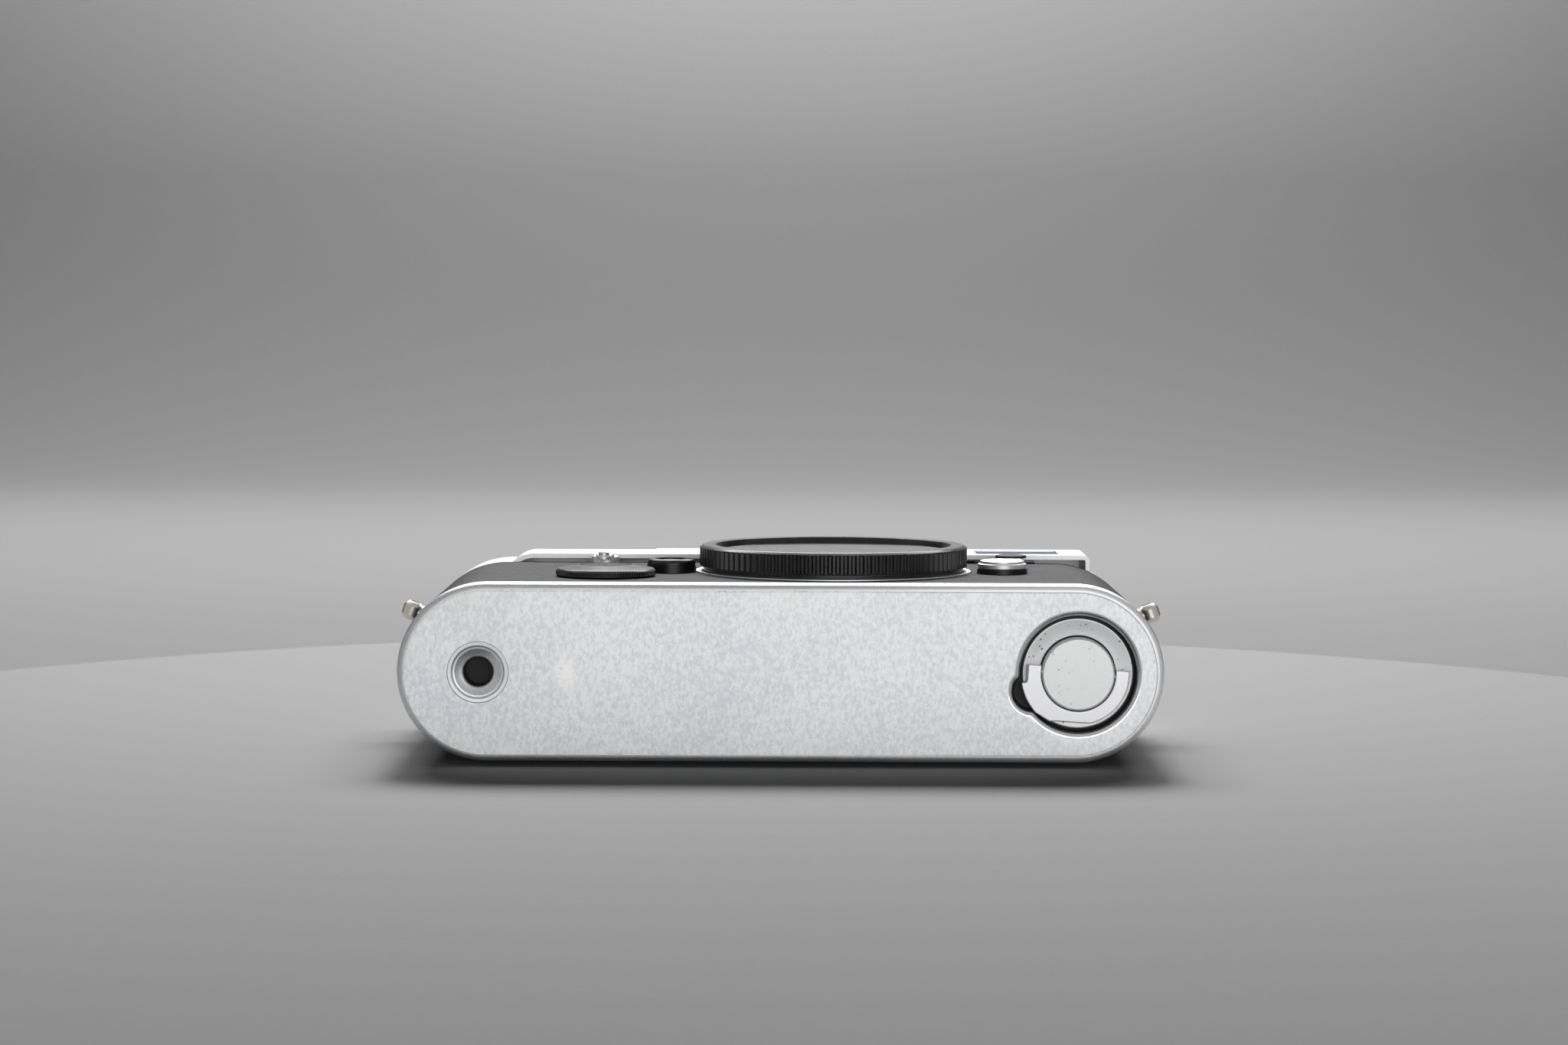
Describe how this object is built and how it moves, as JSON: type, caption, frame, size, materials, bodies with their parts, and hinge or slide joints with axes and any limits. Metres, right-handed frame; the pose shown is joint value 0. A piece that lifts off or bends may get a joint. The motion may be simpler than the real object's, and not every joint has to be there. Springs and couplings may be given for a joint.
{
  "type": "rangefinder film camera",
  "caption": "Rangefinder film camera in satin chrome and black leatherette, lying on its back, with a folding base lock, removable base plate, hinged back and a cap on the lens mount.",
  "frame": {"origin": "middle of the bounding box in X and Y, at the level of the film speed dial and eyepiece ring that the camera lies on", "axes": "+X to the right seen from the front, +Y from the base plate to the top plate, +Z from the back to the lens side"},
  "size_m": [0.1468, 0.0772, 0.0382],
  "materials": {
    "satin_chrome": "satin chrome plate on brass",
    "steel": "turned or stamped steel",
    "die_cast": "black lacquered casting",
    "leatherette": "grained black leatherette",
    "black_plastic": "moulded black plastic",
    "black_enamel": "black enamel",
    "shutter_cloth": "rubberised black cloth",
    "optical_glass": "coated glass",
    "printed_disc": "black with white figures"
  },
  "bodies": {
    "body": {"accessory_shoe": "satin_chrome", "body_covering": "leatherette", "body_shell": "die_cast", "counter_window": "optical_glass", "door_hinge_pin": "steel", "eyepiece_lens": "optical_glass", "eyepiece_ring": "satin_chrome", "film_gate": "die_cast", "finder_block": "optical_glass", "first_curtain": "shutter_cloth", "frame_lever_base": "black_enamel", "illumination_window": "optical_glass", "lens_release_collar": "black_enamel", "mount_ring": "satin_chrome", "mount_screws": "steel", "rangefinder_window": "optical_glass", "release_collar": "satin_chrome", "second_curtain": "shutter_cloth", "shoe_contact": "steel", "shoe_screws": "steel", "shutter_crate": "die_cast", "strap_lugs": "satin_chrome", "top_plate": "satin_chrome", "viewfinder_window": "optical_glass"},
    "base": {"base_plate": "satin_chrome", "tripod_bush": "satin_chrome", "base_hook": "steel", "lock_dish": "satin_chrome"},
    "lock": {"lock_button": "satin_chrome", "lock_pins": "steel", "lock_cam": "steel"},
    "lock_handle": {"lock_handle": "satin_chrome"},
    "cap": {"body_cap": "black_plastic"},
    "battery_holder": {"battery_holder": "black_plastic", "batteries": "steel"},
    "battery_cover": {"battery_cover": "black_enamel", "battery_cover_disc": "leatherette"},
    "rewind_release": {"rewind_release_lever": "satin_chrome"},
    "lens_button": {"lens_release_button": "satin_chrome"},
    "frame_selector": {"frame_lever": "satin_chrome", "frame_lever_tip": "black_plastic"},
    "release_button": {"release_button": "satin_chrome"},
    "advance_lever": {"advance_lever": "satin_chrome", "advance_tip_pin": "steel"},
    "advance_tip": {"advance_tip": "black_plastic"},
    "speed_dial": {"shutter_speed_dial": "satin_chrome"},
    "counter": {"counter_disc": "printed_disc"},
    "rewind_knob": {"rewind_knob": "satin_chrome"},
    "rewind_crank": {"rewind_crank": "satin_chrome"},
    "rewind_fork": {"rewind_fork": "steel"},
    "spool": {"take_up_spool": "black_plastic"},
    "sprocket": {"sprocket_shaft": "steel"},
    "drum_first": {"curtain_drum_first": "steel"},
    "drum_second": {"curtain_drum_second": "steel"},
    "focus_arm": {"rangefinder_arm": "steel"},
    "door": {"back_door": "die_cast", "door_covering": "leatherette", "pressure_plate": "black_enamel", "pressure_spring": "steel"},
    "film_speed_dial": {"film_speed_dial": "satin_chrome"}
  },
  "joints": [
    {"name": "base_removal", "type": "slide", "parent": "body", "child": "base", "axis": [0, -1, 0], "range_m": [0, 0.03]},
    {"name": "lock_turn", "type": "hinge", "parent": "base", "child": "lock", "pos_m": [0.0535, -0.0386, 0.01705], "axis": [0, -1, 0], "range_deg": [0, 180]},
    {"name": "lock_handle_fold", "type": "hinge", "parent": "lock", "child": "lock_handle", "pos_m": [0.0535, -0.0379, 0.01705], "axis": [-0.9978, 0, 0.0663], "range_deg": [0, 90]},
    {"name": "cap_removal", "type": "slide", "parent": "body", "child": "cap", "axis": [0, 0, 1], "range_m": [0, 0.02]},
    {"name": "battery_removal", "type": "slide", "parent": "body", "child": "battery_holder", "axis": [0, 0, 1], "range_m": [0, 0.015]},
    {"name": "battery_cover_turn", "type": "hinge", "parent": "battery_holder", "child": "battery_cover", "pos_m": [-0.0323, -0.0191, 0.0331], "axis": [0, 0, 1], "range_deg": [0, 720]},
    {"name": "rewind_release_turn", "type": "hinge", "parent": "body", "child": "rewind_release", "pos_m": [-0.0339, 0.0143, 0.0331], "axis": [0, 0, 1], "range_deg": [0, 40]},
    {"name": "lens_button_press", "type": "slide", "parent": "body", "child": "lens_button", "axis": [0, 0, -1], "range_m": [0, 0.0015], "stiffness_N_per_m": 300, "springref_m": -0.002},
    {"name": "frame_selector_turn", "type": "hinge", "parent": "body", "child": "frame_selector", "pos_m": [0.0413, -0.0086, 0.0331], "axis": [0, 0, 1], "range_deg": [-18, 18], "stiffness_Nm_per_rad": 0.01},
    {"name": "release_press", "type": "slide", "parent": "body", "child": "release_button", "axis": [0, -1, 0], "range_m": [0, 0.0015], "stiffness_N_per_m": 300, "springref_m": -0.002},
    {"name": "advance_turn", "type": "hinge", "parent": "body", "child": "advance_lever", "pos_m": [-0.05, 0.0319, 0.01705], "axis": [0, 1, 0], "range_deg": [0, 128], "stiffness_Nm_per_rad": 0.02, "springref_deg": -22.92},
    {"name": "advance_tip_turn", "type": "hinge", "parent": "advance_lever", "child": "advance_tip", "pos_m": [-0.06092, 0.0344, 0.00911], "axis": [0, 1, 0], "range_deg": [0, 24]},
    {"name": "speed_dial_turn", "type": "hinge", "parent": "body", "child": "speed_dial", "pos_m": [-0.0333, 0.0319, 0.01705], "axis": [0, 1, 0], "range_deg": [0, 280]},
    {"name": "counter_turn", "type": "hinge", "parent": "body", "child": "counter", "pos_m": [-0.0595, 0.0274, 0.01705], "axis": [0, 1, 0], "range_deg": [0, 9.5]},
    {"name": "rewind_turn", "type": "hinge", "parent": "body", "child": "rewind_knob", "pos_m": [0.0535, 0.0219, 0.01705], "axis": [0.4226, 0.9063, 0], "continuous": true},
    {"name": "crank_fold", "type": "hinge", "parent": "rewind_knob", "child": "rewind_crank", "pos_m": [0.06258, 0.02931, 0.01705], "axis": [0, 0, -1], "range_deg": [0, 110]},
    {"name": "fork_turn", "type": "hinge", "parent": "body", "child": "rewind_fork", "pos_m": [0.0535, 0.0154, 0.01705], "axis": [0, 1, 0], "continuous": true},
    {"name": "spool_turn", "type": "hinge", "parent": "body", "child": "spool", "pos_m": [-0.05295, -0.0086, 0.01705], "axis": [0, 1, 0], "range_deg": [-315, 0]},
    {"name": "sprocket_turn", "type": "hinge", "parent": "body", "child": "sprocket", "pos_m": [-0.034, -0.0086, 0.0105], "axis": [0, 1, 0], "range_deg": [0, 361]},
    {"name": "drum_first_turn", "type": "hinge", "parent": "body", "child": "drum_first", "pos_m": [-0.0155, -0.0086, 0.015], "axis": [0, 1, 0], "range_deg": [0, 850]},
    {"name": "drum_second_turn", "type": "hinge", "parent": "body", "child": "drum_second", "pos_m": [0.033, -0.0086, 0.015], "axis": [0, 1, 0], "range_deg": [0, 850]},
    {"name": "focus_arm_turn", "type": "hinge", "parent": "body", "child": "focus_arm", "pos_m": [0.025, 0.0134, 0.0282], "axis": [0, -1, 0], "range_deg": [0, 8], "stiffness_Nm_per_rad": 0.01, "springref_deg": -11.46},
    {"name": "door_open", "type": "hinge", "parent": "body", "child": "door", "pos_m": [0, 0.0165, 0.0019], "axis": [1, 0, 0], "range_deg": [0, 95]},
    {"name": "film_speed_turn", "type": "hinge", "parent": "door", "child": "film_speed_dial", "pos_m": [0.0015, -0.0056, 0.0005], "axis": [0, 0, 1], "range_deg": [0, 300]}
  ],
  "couplings": [
    {"joint": "sprocket_turn", "follows": "advance_turn", "ratio": 2.8125},
    {"joint": "spool_turn", "follows": "advance_turn", "ratio": -2.43},
    {"joint": "counter_turn", "follows": "advance_turn", "ratio": 0.0703},
    {"joint": "drum_first_turn", "follows": "advance_turn", "ratio": 6.5},
    {"joint": "drum_second_turn", "follows": "advance_turn", "ratio": 6.5},
    {"joint": "fork_turn", "follows": "rewind_turn", "ratio": 1}
  ]
}
